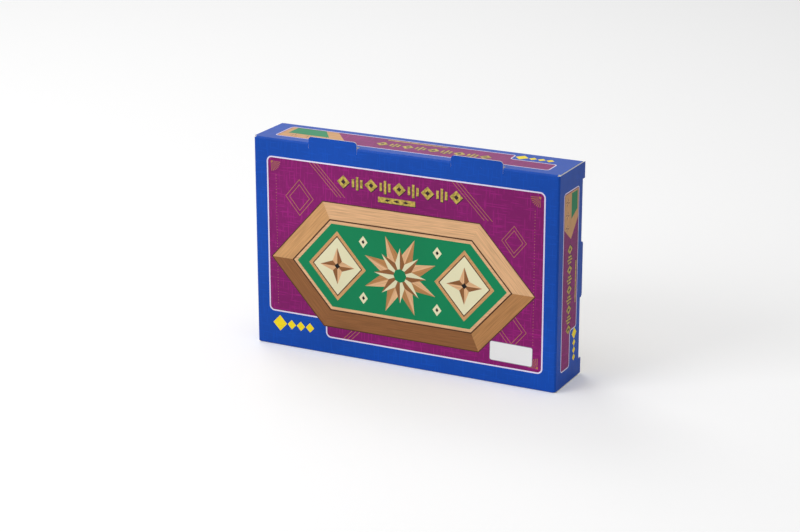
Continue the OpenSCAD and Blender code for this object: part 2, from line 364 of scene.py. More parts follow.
frontPrint = {
    "field": [(-60.2, 12.2), (106.3, 12.2), (106.3, 140.1), (-105.9, 140.1), (-105.9, 25.6), (-60.2, 25.6)],
    "round": 4.0,
    "lozenges": ((-80.0, 112.5, 11.0, 13.0), (84.0, 103.0, 9.0, 11.0), (83.0, 40.0, 11.0, 13.0)),
    "lines": (((38.0, 139.0), (62.0, 115.0)), ((-72.0, 139.0), (-50.0, 117.0)),
              ((-46.0, 13.4), (-36.0, 23.4))),
    "lineWidth": 0.35,
    "fanSize": 7.5, "fanPlaces": ((-102.6, 136.8, 1, -1), (103.0, 136.8, -1, -1), (103.0, 15.5, -1, 1)),
    "dotLines": (-98.6, 98.9), "dotRange": (32, 127), "dotStep": 2.1,
    "dot": (0.25, 0.4), "lineStep": 3.0,
    "frieze": (-2.0, 128.4, 97.0, 9.4),
    "bar": (-18.2, 117.5, 10.2, 121.3), "barShadow": 0.5, "barPlaces": (-11.0, -4.0, 3.0),
    "barLozenge": (2.4, 0.9),
    "label": (67.0, 16.4, 98.8, 30.4), "labelTilt": -0.8, "labelRound": 1.6, "labelLine": 0.35,
    "badge": (-84.0, 17.0, 1.0),
}

medal = {
    "centre": (-1.5, 66.5), "half": (101.0, 45.5), "flat": 60.0, "band": 12.0, "shadow": -0.7,
    "tones": ("woodDeep", "woodMid", "woodPale", "woodPale", "woodTan", "woodDeep"),
    "rings": ((11.9, "woodShade"), (12.9, "woodPale"), (15.0, "green")),      # distance from the edge
    "sidePlace": 49.0, "sideStar": (13.5, 5.2), "sideStud": 2.2,
    # half width, half height, ink, direction of the grain
    "sideLozenges": ((22.5, 25.5, "woodTan", 0.6), (19.6, 22.2, "woodShade", 0.0),
                     (18.6, 21.1, "cream", 0.0)),
    "studPlace": (28.5, 20.5), "studs": ((3.4, 4.4, "cream"), (1.2, 1.6, "black")),
    "bigStar": (29.5, 13.4), "smallStar": (20.0, 9.5), "hub": 5.0,
}


# elongated hexagon with flat top and bottom, drawn in by an inset
def hexagon(centre, half, flat, inset=0.0):
    slope = math.hypot(half[0] - flat, half[1])
    shorter = (slope - (half[0] - flat)) / half[1]      # how much a flat side loses at each end
    x, y = centre
    wide = half[0] - inset * slope / half[1]
    high = half[1] - inset
    level = flat - inset * shorter
    return [(x - level, y - high), (x + level, y - high), (x + wide, y), (x + level, y + high),
            (x - level, y + high), (x - wide, y)]


# inlaid-wood medallion: a mitred wooden band round a green ground with stars and lozenges
def medallion(m):
    base = (m["centre"], m["half"], m["flat"])
    x, y = m["centre"]
    outer, inner = hexagon(*base), hexagon(*base, m["band"])
    shapes = [(hexagon(*base, m["shadow"]), "woodShade", 0.0)]
    for i, tone in enumerate(m["tones"]):
        a, b = outer[i], outer[(i + 1) % 6]
        angle = math.atan2(b[1] - a[1], b[0] - a[0])
        shapes.append(([a, b, inner[(i + 1) % 6], inner[i]], tone, angle))
    for inset, ink in m["rings"]:
        shapes.append((hexagon(*base, inset), ink, 0.0))
    for side in (-1, 1):
        at = x + side * m["sidePlace"]
        for wide, high, ink, angle in m["sideLozenges"]:
            shapes.append((lozenge(at, y, wide, high), ink, angle))
        shapes += facetStar(at, y, *m["sideStar"], 4, ("woodPale", "woodDeep"))
        shapes.append((lozenge(at, y, m["sideStud"], m["sideStud"]), "black", 0.0))
        right, rise = m["studPlace"]
        for up in (-1, 1):
            for wide, high, ink in m["studs"]:
                shapes.append((lozenge(x + side * right, y + up * rise, wide, high), ink, 0.0))
    shapes += facetStar(x, y, *m["bigStar"], 8, ("woodPale", "woodMid"), tilt=math.pi / 8)
    shapes += facetStar(x, y, *m["smallStar"], 8, ("cream", "woodDeep"))
    angles = np.arange(8) * math.pi / 4
    shapes.append(([(x + m["hub"] * math.cos(t), y + m["hub"] * math.sin(t)) for t in angles], "green", 0.0))
    return shapes


# row of four yellow lozenges, the first one larger
def badge(x, y, scale, turned=False):
    shapes = []
    for place, size in ((-13.5, 5.6), (-4.0, 3.4), (3.4, 3.4), (10.8, 3.4)):
        a, b = (0, -place) if turned else (place, 0)
        points = lozenge(x + a * scale, y + b * scale, size * scale, size * scale * 1.05)
        shapes.append((points, "yellow", 0.0))
    return shapes


def frontShapes():
    p = frontPrint
    shapes = fieldShapes(p["field"], p["round"])
    for x in p["dotLines"]:
        for z in np.arange(*p["dotRange"], p["dotStep"]):
            shapes.append((lozenge(x, z, *p["dot"]), "goldLine", 0.0))
    for x, z, wide, high in p["lozenges"]:
        for share in (1.0, 0.72):
            points = lozenge(x, z, wide * share, high * share)
            shapes += stroke(points, p["lineWidth"], "goldLine", closed=True)
    for ends in p["lines"]:
        for i in range(3):
            points = [(x + i * p["lineStep"], z) for x, z in ends]
            shapes += stroke(points, p["lineWidth"], "goldLine")
    shapes += medallion(medal)
    for x, z, towardX, towardZ in p["fanPlaces"]:
        shapes += cornerFan(x, z, p["fanSize"], towardX, towardZ)
    shapes += frieze(*p["frieze"])
    bar = rectangle(*p["bar"])
    drop = p["barShadow"]
    shapes.append(([(a + drop, b - drop) for a, b in bar], "goldShade", 0.0))
    shapes.append((bar, "gold", 0.0))
    middle = (p["bar"][1] + p["bar"][3]) / 2
    for x in p["barPlaces"]:
        shapes.append((lozenge(x, middle, *p["barLozenge"]), "goldShade", 0.0))
    corners = rectangle(*p["label"])
    turn = Matrix.Rotation(math.radians(p["labelTilt"]), 2)
    middle = (Vector(corners[0]) + Vector(corners[2])) / 2
    for inset, ink in ((0.0, "labelEdge"), (p["labelLine"], "label")):
        points = roundedOutline(corners, p["labelRound"], inset)
        shapes.append(([tuple(middle + turn @ (Vector(q) - middle)) for q in points], ink, 0.0))
    shapes += badge(*p["badge"])
    return shapes


# Narrow walls, in mm along X or Y and then Y or Z: a printed panel stands at the start of the field and
# the badge in its notch
wallField = {"round": 2.6, "keyline": 0.8}
topPrint = {
    "field": [(-104, -13.6), (104.4, -13.6), (104.4, 2.0), (70.0, 2.0), (70.0, 12.4), (-104, 12.4)],
    "panel": [(-102.6, -12.2), (-48, -12.2), (-66, 11.0), (-102.6, 11.0)], "panelGrain": 0.0,
    "green": [(-98.6, -3.6), (-66, -3.6), (-76, 11.0), (-98.6, 11.0)],
    "stars": ((-92, -7.0), (-80, -7.0), (-68, -7.0)), "starSize": (4.2, 1.7),
    "frieze": (14.0, -1.6, 88.0, 9.0), "bar": (-26, 8.2, 20, 10.0), "badge": (87.0, 8.5, 0.85),
}
sidePrint = {
    "field": [(-13.6, 11.5), (1.5, 11.5), (1.5, 37.5), (12.6, 37.5), (12.6, 138.0), (-13.6, 138.0)],
    "panel": [(-12.2, 112.6), (-0.5, 103.6), (11.2, 116.6), (11.2, 136.6), (-12.2, 136.6)],
    "panelGrain": math.pi / 2,
    "green": [(-0.5, 117.6), (9.6, 122.6), (9.6, 135.6), (-0.5, 135.6)],
    "stars": ((-7.0, 130.6), (-7.0, 121.6), (-7.0, 112.6)), "starSize": (3.6, 1.6),
    "frieze": (-1.5, 68.0, 64.0, 8.4, True), "bar": (8.6, 56, 10.2, 86), "badge": (9.25, 24.0, 0.72, True),
}


def wallShapes(p):
    shapes = fieldShapes(p["field"], wallField["round"], wallField["keyline"])
    shapes.append((p["panel"], "woodTan", p["panelGrain"]))
    shapes.append((p["green"], "green", 0.0))
    for x, y in p["stars"]:
        shapes += facetStar(x, y, *p["starSize"], 4, ("woodPale", "woodDeep"))
    shapes += frieze(*p["frieze"])
    shapes.append((rectangle(*p["bar"]), "gold", 0.0))
    shapes += badge(*p["badge"])
    return shapes


# Offset print on white-lined folding card under a thin satin varnish: even ink crossed by fine linen threads
# drawn lighter as painted highlights, gilt and printed wood where the ink says so, little gloss, and card
# that waves a little.
def makePrintedCard():
    material, tree, shader = newMaterial("printedFoldingCard")
    place = addNode(tree, "TexCoord").outputs["Object"]
    inMm = addNode(tree, "VectorMath", {0: place, "Scale": 1 / mm}, operation="SCALE")
    ink = addNode(tree, "Attribute", attribute_name="ink").outputs["Color"]
    grain = addNode(tree, "Attribute", attribute_name="grain").outputs["Vector"]
    kind = addNode(tree, "SeparateXYZ",
                   {0: addNode(tree, "Attribute", attribute_name="kind").outputs["Vector"]})

    # linen threads run both ways: noise along each thread, and another noise for each thread; the threads are
    # lightened as painted highlights
    flat = addNode(tree, "SeparateXYZ", {0: grain})
    threads = []
    for along, across in ((0, 1), (1, 0)):
        number, length = [addNode(tree, "Math", {0: flat.outputs[i], 1: 1 / size}, operation="MULTIPLY")
                          for i, size in ((across, linen["threadWide"]), (along, linen["threadLong"]))]
        number = addNode(tree, "Math", {0: number}, operation="FLOOR")
        apart = addNode(tree, "Math", {0: number, 1: linen["threadShift"]}, operation="MULTIPLY")
        thread = addNode(tree, "CombineXYZ", {0: length, 1: apart, 2: linen["turnShift"] * along})
        noise = addNode(tree, "TexNoise", {"Vector": thread, "Scale": 1.0, "Detail": 1.0})
        threads.append(addNode(tree, "MapRange", {0: noise, 1: 0.57, 2: 0.68}))
    crossed = addNode(tree, "Math", {0: threads[0], 1: threads[1]}, operation="MAXIMUM")
    highlightShown = addNode(tree, "Math", {0: crossed, 1: kind.outputs[2]}, operation="MULTIPLY")
    # painted highlight on the linen threads: up to this much lighter than the ink
    linenHighlightTone = addNode(tree, "MapRange", {0: highlightShown, 3: 1.0, 4: linen["threadHighlight"]})
    cloud = addNode(tree, "TexNoise", {"Vector": inMm, "Scale": 0.012, "Detail": 1.0})
    cloudTone = addNode(tree, "MapRange", {0: cloud, 1: 0.3, 2: 0.7, 3: 0.9, 4: 1.1})
    tone = addNode(tree, "Math", {0: linenHighlightTone, 1: cloudTone}, operation="MULTIPLY")

    # printed wood has streaks 0.8 mm wide and 20 mm long; gilt has a mottle of 2 mm
    streak = addNode(tree, "Mapping", {0: grain, "Scale": (0.05, 1.3, 1.0)})
    streakNoise = addNode(tree, "TexNoise", {"Vector": streak, "Scale": 1.0, "Detail": 4.0})
    streakTone = addNode(tree, "MapRange", {0: streakNoise, 1: 0.3, 2: 0.7, 3: 0.78, 4: 1.16})
    mottle = addNode(tree, "TexNoise", {"Vector": inMm, "Scale": 0.5})
    mottleTone = addNode(tree, "MapRange", {0: mottle, 1: 0.38, 2: 0.62, 3: 0.6, 4: 1.15})
    tone = addNode(tree, "Mix", {0: kind.outputs[0], 2: tone, 3: streakTone})
    tone = addNode(tree, "Mix", {0: kind.outputs[1], 2: tone, 3: mottleTone})
    shaded = addNode(tree, "VectorMath", {0: ink, "Scale": tone}, operation="SCALE")

    wave = addNode(tree, "TexNoise", {"Vector": inMm, "Scale": 0.03})
    fibre = addNode(tree, "TexNoise", {"Vector": inMm, "Scale": 1.6, "Detail": 3.0})
    slow = addNode(tree, "Bump", {"Height": wave, "Strength": 0.35, "Distance": 0.0015})
    fine = addNode(tree, "Bump", {"Height": fibre, "Strength": 0.12, "Distance": 0.00006,
                                            "Normal": slow})
    setInputs(tree, shader, {"Base Color": shaded, "Roughness": 0.42, "Specular IOR Level": 0.14,
                             "Normal": fine})
    return material


# White-lined card where nothing is printed, or where it is cut: matt, with short paper fibres that
# catch the light as a faint tooth.
def makePlainCard(name, colour, rough):
    material, tree, shader = newMaterial(name)
    place = addNode(tree, "TexCoord").outputs["Object"]
    fibre = addNode(tree, "TexNoise", {"Vector": place, "Scale": 900.0, "Detail": 4.0})
    fleck = addNode(tree, "TexNoise", {"Vector": place, "Scale": 60.0})
    tone = addNode(tree, "Math", {0: fibre, 1: fleck}, operation="ADD")
    shade = addNode(tree, "MapRange", {0: tone, 1: 0.7, 2: 1.3, 3: 0.94, 4: 1.02})
    base = addNode(tree, "VectorMath", {0: linearColour(colour)[:3], "Scale": shade}, operation="SCALE")
    bump = addNode(tree, "Bump", {"Height": fibre, "Strength": 0.3, "Distance": 0.00005})
    setInputs(tree, shader, {"Base Color": base, "Roughness": rough, "Specular IOR Level": 0.3,
                             "Normal": bump})
    return material


printedCard = makePrintedCard()
cardLining = makePlainCard("unprintedCardLining", "#DEDBD2", 0.75)
cardEdge = makePlainCard("cutCardEdge", "#E4E1DA", 0.85)
trayCard = makePlainCard("whiteLinedTrayCard", "#E3E1DB", 0.6)
paper = makePlainCard("uncoatedPaper", "#ECEBE6", 0.8)
print("card materials made")


# Gathers the parts of one folded sheet before they are welded
def newSheet():
    return {"points": [], "faces": [], "ink": [], "kind": [], "grain": [], "count": 0}


def addPart(sheet, points, faces, names, grain):
    sheet["points"].append(np.asarray(points, float).reshape(-1, 3))
    sheet["faces"] += [[int(i) + sheet["count"] for i in face] for face in faces]
    sheet["ink"] += [linearColour(inks[name]) for name in names]
    # third value: how strongly the painted highlight of the linen threads shows in this ink
    sheet["kind"] += [(float(name in woodInks), float(name == "gold"), linen["share"].get(name, 0.0))
                      for name in names]
    sheet["grain"] += grain
    sheet["count"] += len(sheet["points"][-1])


# points on a grid; across and up are the same places on the flat sheet, for the print to follow
def addGrid(sheet, points, across, up, keep, flip):
    faces = gridFaces(*points.shape[:2], keep, flip)
    flat = np.stack([across, up, np.zeros_like(across)], -1).reshape(-1, 3)
    addPart(sheet, points, faces, ["blue"] * len(faces), flat[faces.ravel()].tolist())


# a flat wall with its print; shapes in the ink "cut" are openings
def addPanel(sheet, across, up, shapes, place, flip):
    outline = ([(a, up[0]) for a in across] + [(across[-1], b) for b in up[1:]]
               + [(a, up[-1]) for a in across[-2::-1]] + [(across[0], b) for b in up[-2:0:-1]])
    flat, faces, top = inlay(outline, [shape[0] for shape in shapes])
    names = ["blue"] + [shape[1] for shape in shapes]
    angles = [0.0] + [shape[2] for shape in shapes]
    kept = [i for i in range(len(faces)) if names[top[i]] != "cut"]
    faces = [faces[i][::-1] if flip else faces[i] for i in kept]
    top = top[kept]
    grain = []
    for face, k in zip(faces, top):
        c, s = math.cos(angles[k]), math.sin(angles[k])
        shift = 37.0 * k if names[k] in woodInks else 0.0
        grain += [(a * c + b * s + shift, b * c - a * s, shift) for a, b in flat[list(face)]]
    addPart(sheet, place(flat[:, 0], flat[:, 1]), faces, [names[k] for k in top], grain)


def weldSheet(sheet, name, materials, body):
    mesh = newMesh(name, np.concatenate(sheet["points"]), sheet["faces"], materials)
    for label, kind, domain, field in (("ink", "FLOAT_COLOR", "FACE", "color"),
                                       ("kind", "FLOAT_VECTOR", "FACE", "vector"),
                                       ("grain", "FLOAT_VECTOR", "CORNER", "vector")):
        rows = np.array(sheet[label], float)
        mesh.attributes.new(label, kind, domain).data.foreach_set(field, rows.ravel())
    solid = bmesh.new()
    solid.from_mesh(mesh)
    bmesh.ops.remove_doubles(solid, verts=solid.verts, dist=2e-6)
    bmesh.ops.delete(solid, geom=[v for v in solid.verts if not v.link_faces], context="VERTS")
    solid.to_mesh(mesh)
    solid.free()
    return addToScene(name, mesh, body)


# section of a rolled wall: a quarter fold, the outer ply, a half roll at the rim and the inner ply;
# each row is the distance from the front plane and the distance under the wall's outer face
def wallSection(depth):
    r, roll, support = card["foldRadius"], rollRadius, card["rimSupport"]
    fold = [(r - r * math.cos(t), r - r * math.sin(t)) for t in np.linspace(0, math.pi / 2, 8)]
    rim = [(depth - roll + roll * math.sin(t), roll - roll * math.cos(t)) for t in np.linspace(0, math.pi, 9)]
    inner = [(d, wallThick) for d in (depth - roll, depth - roll - support, depth * 0.5, card["thick"])]
    return np.array(fold), np.array(rim), np.array(inner)


def stops(*values):
    values = np.array(sorted(values))
    return values[np.r_[True, np.diff(values) > 1e-6]]


# lip with rounded free corners that stands on an edge; rows run outwards, columns along the edge
def lipGrid(start, length, proud, radius, base):
    out = np.array([*base, *(proud - radius * (1 - np.sin(np.linspace(0, math.pi / 2, 8))))])
    over = np.clip(out - (proud - radius), 0, None)
    half = length / 2 - radius + np.sqrt(np.maximum(radius ** 2 - over ** 2, 0))
    along = start + length / 2 + half[:, None] * np.linspace(-1, 1, 9)
    return along, np.broadcast_to(out[:, None], along.shape)


def buildOuterCarton():
    r = card["foldRadius"]
    depth = rimY - frontY
    panelHalf = halfWide - r
    innerHalf = halfWide - wallThick - card["plyEndGap"]
    gap = card["slitWidth"]
    lips = card["lips"]
    lipColumns = [a + (b - a) * t for a, b in lips for t in np.linspace(0, 1, 9)]
    slits = [x for a, b in lips for x in (a - gap, b + gap)]
    columns = stops(-halfWide, -panelHalf, -innerHalf, innerHalf, panelHalf, halfWide, *lipColumns, *slits,
                    *np.linspace(-90, 90, 7))
    middles = (columns[1:] + columns[:-1]) / 2
    inWindow = np.zeros(len(middles), bool)
    for a, b in lips:
        inWindow |= (middles > a - gap) & (middles < b + gap)
    fold, rim, inner = wallSection(depth)
    sheet = newSheet()

    def strip(rows, keepColumns, isTop):
        x = np.broadcast_to(columns, (len(rows), len(columns)))
        y = np.broadcast_to(frontY + rows[:, :1], x.shape)
        z = np.broadcast_to(tall - rows[:, 1:] if isTop else rows[:, 1:], x.shape)
        keep = np.broadcast_to(keepColumns, (len(rows) - 1, len(middles)))
        addGrid(sheet, np.stack([x, y, z], -1), x, y + z, keep, not isTop)

    for isTop in (True, False):
        strip(fold, (np.abs(middles) < panelHalf) & ~(inWindow & isTop), isTop)
        strip(rim, np.abs(middles) < innerHalf, isTop)
        strip(inner, np.abs(middles) < innerHalf, isTop)
        level = tall if isTop else 0.0
        shapes = wallShapes(topPrint) if isTop else []
        if isTop:
            shapes += [(rectangle(a - gap, frontY + r, b + gap, frontY + card["lipHeight"]), "cut", 0.0)
                       for a, b in lips]
        addPanel(sheet, columns, stops(frontY + r, rimY - rollRadius), shapes,
                 lambda a, b: np.stack([a, b, np.full_like(a, level)], -1), not isTop)

    # front panel and its lips
    low, high = card["thick"], tall - card["thick"]
    middle = (low + high) / 2
    proud, corner, lip, bend = card["rimProud"], card["rimCorner"], card["rimLip"], card["cornerRound"]
    lipProud = proud * card["rimLipShare"]
    # start, length, height over the rim and radius of the free corners
    rims = [(low, corner, proud, bend), (high - corner, corner, proud, bend),
            (middle - lip / 2, lip, lipProud, lipProud)]
    rimRows = [a + length * t for a, length, _, _ in rims for t in np.linspace(0, 1, 9)]
    heights = stops(r, tall - r, *[z for z in rimRows if r < z < tall - r])
    slitLow = tall - r - card["slitLength"]
    cuts = [(rectangle(x, slitLow, x + gap, tall - r), "cut", 0.0) for a, b in lips for x in (a - gap, b)]
    addPanel(sheet, columns[np.abs(columns) < panelHalf + 1e-6], heights, frontShapes() + cuts,
             lambda a, b: np.stack([a, np.full_like(a, frontY), b], -1), False)
    for a, b in lips:
        x, up = lipGrid(a, b - a, card["lipHeight"], card["lipRound"], (-r, 0.0))
        addGrid(sheet, np.stack([x, np.full_like(x, frontY), tall + up], -1), x, tall + up, None, False)

    # side walls, with the lips that stand past the rim
    rows = stops(*heights, low, high, low + card["plyEndGap"], high - card["plyEndGap"], *rimRows)
    rows = rows[(rows > low - 1e-6) & (rows < high + 1e-6)]
    between = (rows[1:] + rows[:-1]) / 2
    inLip = np.zeros(len(between), bool)
    for a, length, _, _ in rims:
        inLip |= (between > a) & (between < a + length)
    plyRows = (between > low + card["plyEndGap"]) & (between < high - card["plyEndGap"])
    for side in (-1, 1):
        flip = side > 0
        parts = ((fold, np.ones(len(between), bool)), (rim, plyRows & ~inLip), (inner, plyRows))
        for part, keepRows in parts:
            z = np.broadcast_to(rows, (len(part), len(rows)))
            x = np.broadcast_to(side * (halfWide - part[:, 1:]), z.shape)
            y = np.broadcast_to(frontY + part[:, :1], z.shape)
            keep = np.broadcast_to(keepRows, (len(part) - 1, len(between)))
            addGrid(sheet, np.stack([x, y, z], -1), y + side * x, z, keep, flip)
        addPanel(sheet, stops(frontY + r, rimY - rollRadius), rows, wallShapes(sidePrint),
                 lambda a, b: np.stack([np.full_like(a, side * halfWide), a, b], -1), not flip)
        for a, length, height, radius in rims:
            z, out = lipGrid(a, length, rollRadius + height, radius, (0.0, rollRadius))
            points = np.stack([np.full_like(z, side * halfWide), rimY - rollRadius + out, z], -1)
            addGrid(sheet, points, out, z, None, flip)

    piece = weldSheet(sheet, "printedCartonSheet", [printedCard, cardLining, cardEdge], "outer_carton")
    thick = piece.modifiers.new("card", "SOLIDIFY")
    thick.thickness, thick.offset = card["thick"] * mm, -1
    thick.material_offset, thick.material_offset_rim = 1, 2
    soft = piece.modifiers.new("cutEdges", "BEVEL")
    soft.width, soft.segments, soft.limit_method = card["edgeRound"] * mm, 2, "ANGLE"
    soft.angle_limit = math.radians(50)
    piece.modifiers.new("normals", "WEIGHTED_NORMAL")
    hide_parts("outer_carton")


buildOuterCarton()
print("outer carton folded")

# Solids of the game: a copy of the frame's solid with its flat faces merged and its edges rounded
def softened(node, width, steps=2):
    solid = bmesh.new()
    solid.from_mesh(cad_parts[node].data)
    bmesh.ops.remove_doubles(solid, verts=solid.verts, dist=1e-6)
    bmesh.ops.dissolve_limit(solid, angle_limit=math.radians(1), verts=solid.verts, edges=solid.edges)
    sharp = [e for e in solid.edges if len(e.link_faces) == 2 and e.calc_face_angle() > math.radians(25)]
    bmesh.ops.bevel(solid, geom=sharp, offset=width * mm, offset_type="OFFSET", segments=steps, profile=0.5,
                    affect="EDGES", clamp_overlap=True)
    return solid


# lets shapes into the largest flat face that looks along right x up; they get the second material
def inlayFace(solid, right, up, shapes):
    right, up = Vector(right), Vector(up)
    out = right.cross(up)
    face = max((f for f in solid.faces if f.normal.dot(out) > 0.9999), key=lambda f: f.calc_area())
    level = out * face.verts[0].co.dot(out)
    outline = [(v.co.dot(right) / mm, v.co.dot(up) / mm) for v in face.verts]
    flat, faces, top = inlay(outline, [points for points, _ in shapes])
    corners = [solid.verts.new(level + (right * a + up * b) * mm) for a, b in flat]
    solid.faces.remove(face)
    for chosen, k in zip(faces, top):
        part = solid.faces.new([corners[i] for i in chosen])
        part.material_index = 1 if k and shapes[k - 1][1] else 0
    bmesh.ops.remove_doubles(solid, verts=solid.verts, dist=1e-6)


# mesh with the distance along the grain, and the two across it, kept at each point in mm, so that the
# grain follows the piece; the seed moves it to another part of the board
def finishSolid(solid, name, body, materials, node, axis=0, seed=0):
    mesh = bpy.data.meshes.new(name)
    solid.to_mesh(mesh)
    solid.free()
    for material in materials:
        mesh.materials.append(material)
    points = np.empty(len(mesh.vertices) * 3, np.float32)
    mesh.vertices.foreach_get("co", points)
    grain = np.roll(points.reshape(-1, 3), -axis, 1) / mm + seed * np.array([83.0, 41.0, 29.0])
    mesh.attributes.new("grain", "FLOAT_VECTOR", "POINT").data.foreach_set("vector", grain.ravel())
    normals = np.empty(len(mesh.polygons) * 3, np.float32)
    mesh.polygons.foreach_get("normal", normals)
    ends = (np.abs(normals.reshape(-1, 3)[:, axis]) > 0.85).astype(np.float32)
    mesh.attributes.new("endGrain", "FLOAT", "FACE").data.foreach_set("value", ends)
    mesh.polygons.foreach_set("use_smooth", np.ones(len(mesh.polygons), bool))
    piece = addToScene(name, mesh, body)
    piece.modifiers.new("normals", "WEIGHTED_NORMAL")
    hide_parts(node)
    return piece


# Planed and sanded beech under a thin matt lacquer: straight pinkish grain, short dark flecks, broad
# paler bands, and darker dotted end grain. The grain is a few times coarser than life, or it wouldn't show.
beech = {
    "streakLong": 28.0, "streakWide": 0.9, "fleckLong": 4.5, "fleckWide": 0.42,
    "bandLong": 170.0, "bandWide": 15.0,
    "rail": {"pale": "#DFAF84", "dark": "#BE8A5F", "fleck": "#8E6040", "end": "#B48A60", "rough": 0.5},
    "trim": {"pale": "#DDAA7C", "dark": "#C08D60", "fleck": "#94653F", "end": "#B48A60", "rough": 0.42},
    "tile": {"pale": "#DDAE84", "dark": "#C18F66", "fleck": "#906344", "end": "#AE875A", "rough": 0.48},
}


def makeBeech(name, colours):
    material, tree, shader = newMaterial(name)
    grain = addNode(tree, "Attribute", attribute_name="grain").outputs["Vector"]
    s = beech
    noises = []
    for long, wide, detail in ((s["streakLong"], s["streakWide"], 3.0), (s["fleckLong"], s["fleckWide"], 1.0),
                               (s["bandLong"], s["bandWide"], 2.0)):
        along = addNode(tree, "Mapping", {0: grain, "Scale": (1 / long, 1 / wide, 1 / wide)})
        noises.append(addNode(tree, "TexNoise", {"Vector": along, "Scale": 1.0, "Detail": detail}))
    streak = addNode(tree, "MapRange", {0: noises[0], 1: 0.35, 2: 0.68, 4: 0.62})
    band = addNode(tree, "MapRange", {0: noises[2], 1: 0.4, 2: 0.65, 4: 0.5})
    dark = addNode(tree, "Math", {0: streak, 1: band}, operation="ADD", use_clamp=True)
    fleck = addNode(tree, "MapRange", {0: noises[1], 1: 0.63, 2: 0.72, 4: 0.6})
    body = addNode(tree, "Mix", {0: dark, 6: linearColour(colours["pale"]),
                                           7: linearColour(colours["dark"])}, data_type="RGBA").outputs[2]
    body = addNode(tree, "Mix", {0: fleck, 6: body, 7: linearColour(colours["fleck"])},
                   data_type="RGBA").outputs[2]
    dots = addNode(tree, "TexNoise", {"Vector": grain, "Scale": 1.8})
    endTone = addNode(tree, "MapRange", {0: dots, 1: 0.3, 2: 0.7, 3: 0.84, 4: 1.08})
    end = addNode(tree, "VectorMath", {0: linearColour(colours["end"])[:3], "Scale": endTone},
                  operation="SCALE")
    isEnd = addNode(tree, "Attribute", attribute_name="endGrain").outputs["Fac"]
    colour = addNode(tree, "Mix", {0: isEnd, 6: body, 7: end}, data_type="RGBA").outputs[2]
    gloss = addNode(tree, "MapRange", {0: noises[0], 3: colours["rough"] - 0.06, 4: colours["rough"] + 0.1})
    pores = addNode(tree, "Bump", {"Height": fleck, "Strength": 0.35, "Distance": 0.00012}, invert=True)
    fibres = addNode(tree, "Bump", {"Height": noises[0], "Strength": 0.25, "Distance": 0.00008,
                                              "Normal": pores})
    setInputs(tree, shader, {"Base Color": colour, "Roughness": gloss, "Specular IOR Level": 0.35,
                             "Normal": fibres})
    return material


railBeech = makeBeech("lacqueredBeechRail", beech["rail"])
trimBeech = makeBeech("mouldedBeechTrim", beech["trim"])
tileBeech = makeBeech("lacqueredBeechTile", beech["tile"])


# Black stamping ink on wood: matt, and broken where the pores of the wood don't take it
def makeStampInk():
    material, tree, shader = newMaterial("blackStampingInk")
    grain = addNode(tree, "Attribute", attribute_name="grain").outputs["Vector"]
    along = addNode(tree, "Mapping", {0: grain, "Scale": (0.4, 2.4, 2.4)})
    noise = addNode(tree, "TexNoise", {"Vector": along, "Scale": 1.0})
    worn = addNode(tree, "MapRange", {0: noise, 1: 0.6, 2: 0.75, 4: 0.4})
    colour = addNode(tree, "Mix", {0: worn, 6: linearColour("#1B1918"), 7: linearColour("#6B4B36")},
                     data_type="RGBA").outputs[2]
    setInputs(tree, shader, {"Base Color": colour, "Roughness": 0.6, "Specular IOR Level": 0.25})
    return material


stampInk = makeStampInk()

frameWood = {
    "edgeRound": 0.35,     # mm, sanded edges
    # piece, the direction its grain runs in (0 is X, 2 is Z), and its place on the board
    "rails": (("rail_front", 0, 1), ("rail_back", 0, 2), ("rail_left", 2, 3), ("rail_right", 2, 4)),
    "trims": (("bead_left", 2, 7), ("bead_right", 2, 8), ("rest_strip", 0, 9)),
}
for group, material, slotName in (("rails", railBeech, "beech_rail"), ("trims", trimBeech, "beech_trim")):
    for node, axis, seed in frameWood[group]:
        solid = softened(node, frameWood["edgeRound"])
        finishSolid(solid, node + "Wood", "game", [material], node, axis, seed)
print("rails and trims done")


# Outlines of a numeral, as points with true for ink and false for a hole in it, centred, at this height
def numeralShapes(numeral, height):
    curve = bpy.data.curves.new("numeral", "FONT")
    curve.body, curve.resolution_u = numeral, 4
    holder = bpy.data.objects.new("numeral", curve)
    solid = bmesh.new()
    solid.from_mesh(bpy.data.meshes.new_from_object(holder))
    bpy.data.objects.remove(holder)
    bmesh.ops.remove_doubles(solid, verts=solid.verts, dist=1e-5)
    onward = {}
    for face in solid.faces:
        for corner in face.loops:
            if corner.edge.is_boundary:
                onward[corner.vert.index] = corner.link_loop_next.vert.index
    solid.verts.ensure_lookup_table()
    points = np.array([v.co.xy for v in solid.verts])
    solid.free()
    low, high = points.min(0), points.max(0)
    points = (points - (low + high) / 2) * height / (high[1] - low[1])
    shapes = []
    while onward:
        start = at = next(iter(onward))
        loop = []
        while at in onward:
            loop.append(at)
            at = onward.pop(at)
        a, b = points[loop], np.roll(points[loop], -1, 0)
        shapes.append((points[loop], (a[:, 0] * b[:, 1] - b[:, 0] * a[:, 1]).sum() > 0))
    return sorted(shapes, key=lambda shape: not shape[1])


tiles = {
    "edgeRound": 0.3, "numeralHeight": 8.6,
    "topPlace": 0.47, "underPlace": 0.39,    # middle of the numeral, as a share of the tile's length
}


# Each tile is numbered on its top and, the other way up, on its underside, which shows once it is flipped
def buildTiles():
    for number in range(1, 11):
        node = "tile_" + str(number)
        low, high = boxOf(node)
        solid = softened(node, tiles["edgeRound"])
        shapes = numeralShapes(str(number), tiles["numeralHeight"])
        middle = (low[0] + high[0]) / 2
        for up, share in ((1, tiles["topPlace"]), (-1, tiles["underPlace"])):
            height = low[2] + share * (high[2] - low[2])
            moved = [(points + (-middle, up * height), isInk) for points, isInk in shapes]
            inlayFace(solid, (-1, 0, 0), (0, 0, up), moved)
        finishSolid(solid, node + "Wood", node, [tileBeech, stampInk], node, 2, number + 11)


buildTiles()
print("tiles numbered")


